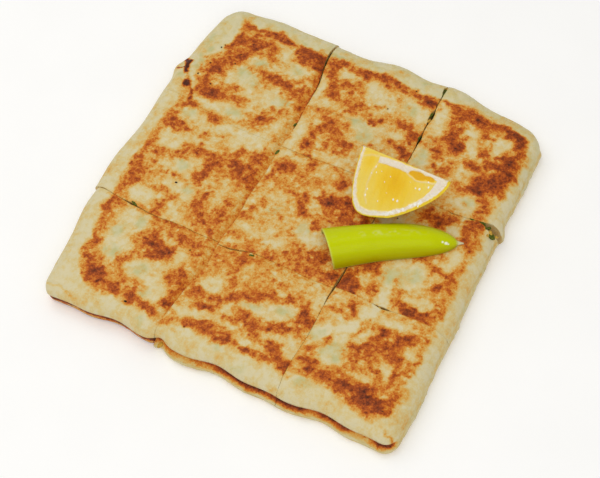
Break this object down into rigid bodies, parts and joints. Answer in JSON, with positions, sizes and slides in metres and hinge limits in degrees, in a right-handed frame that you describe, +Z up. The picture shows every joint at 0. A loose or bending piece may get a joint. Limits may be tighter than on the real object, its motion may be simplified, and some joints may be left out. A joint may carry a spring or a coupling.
{
  "type": "mutabbaq",
  "caption": "Square stuffed pan bread with a browned blistered crust, cut into pieces that still keep its shape, topped with a lemon wedge and a halved green chilli.",
  "frame": {"origin": "middle of the bread's footprint, on the surface it rests on", "axes": "+Z up, +Y towards the far edge, +X along the near edge towards the side with the chilli"},
  "size_m": [0.2439, 0.243, 0.054],
  "materials": {
    "fried_dough": "pale pan-fried dough, blistered and browned in patches",
    "filling": "moist egg with chopped green herbs",
    "lemon": "wet cut lemon flesh with pale pith and yellow rind",
    "chilli": "smooth waxy lime green skin"
  },
  "bodies": {
    "root": {"dough_near_left": "fried_dough", "dough_near_middle": "fried_dough", "dough_near_right": "fried_dough", "dough_middle_left": "fried_dough", "dough_centre_bottom": "fried_dough", "dough_centre_top": "fried_dough", "dough_middle_right": "fried_dough", "dough_far_left": "fried_dough", "dough_far_middle": "fried_dough", "dough_far_right": "fried_dough", "filling_near_left": "filling", "filling_near_middle": "filling", "filling_near_right": "filling", "filling_middle_left": "filling", "filling_centre": "filling", "filling_middle_right": "filling", "filling_far_left": "filling", "filling_far_middle": "filling", "filling_far_right": "filling", "lemon_wedge": "lemon", "chilli_half": "chilli"}
  },
  "joints": []
}
